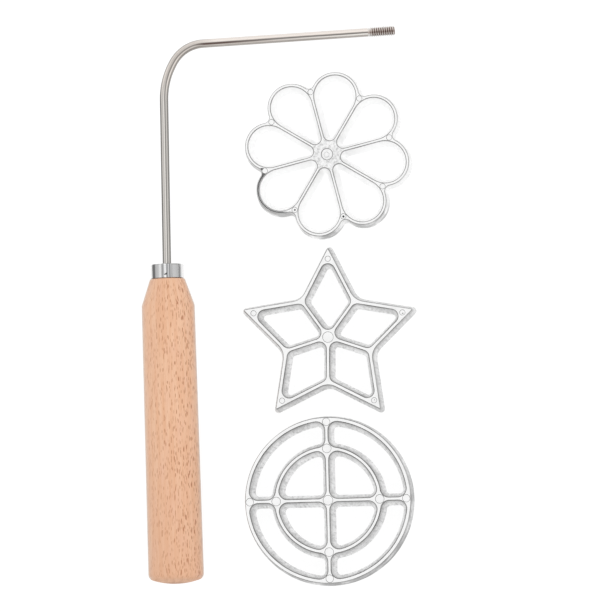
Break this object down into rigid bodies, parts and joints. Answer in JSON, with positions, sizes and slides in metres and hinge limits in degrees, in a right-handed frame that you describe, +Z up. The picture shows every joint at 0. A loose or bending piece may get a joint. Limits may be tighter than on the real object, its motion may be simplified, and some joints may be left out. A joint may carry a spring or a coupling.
{
  "type": "rosette iron",
  "caption": "Rosette iron: a turned wooden handle with a bent, threaded steel rod, and cast flower, star and ring moulds that screw onto it.",
  "frame": {"origin": "middle of the footprint of the whole set as it lies, on the table's surface", "axes": "+Z up from the table; +Y from the handle's domed end towards the rod's arm, the longest way; +X from the handle towards the moulds"},
  "size_m": [0.1334, 0.2736, 0.027],
  "materials": {
    "wood": "sanded beech, unvarnished, fine flecks along the grain",
    "chrome": "bright chrome on drawn steel",
    "steel": "plated drawn wire, satin",
    "cast_aluminium": "as cast, satin, brighter on the ribs' tops"
  },
  "bodies": {
    "handle_assembly": {"handle": "wood", "ferrule": "chrome", "bent_rod": "steel"},
    "flower_mould": {"flower_mould": "cast_aluminium"},
    "star_mould": {"star_mould": "cast_aluminium"},
    "ring_mould": {"ring_mould": "cast_aluminium"}
  },
  "joints": [
    {"name": "flower_lift", "type": "slide", "parent": "handle_assembly", "child": "flower_mould", "axis": [0, 0, 1], "range_m": [0, 0.1]},
    {"name": "star_lift", "type": "slide", "parent": "handle_assembly", "child": "star_mould", "axis": [0, 0, 1], "range_m": [0, 0.1]},
    {"name": "ring_lift", "type": "slide", "parent": "handle_assembly", "child": "ring_mould", "axis": [0, 0, 1], "range_m": [0, 0.1]}
  ]
}
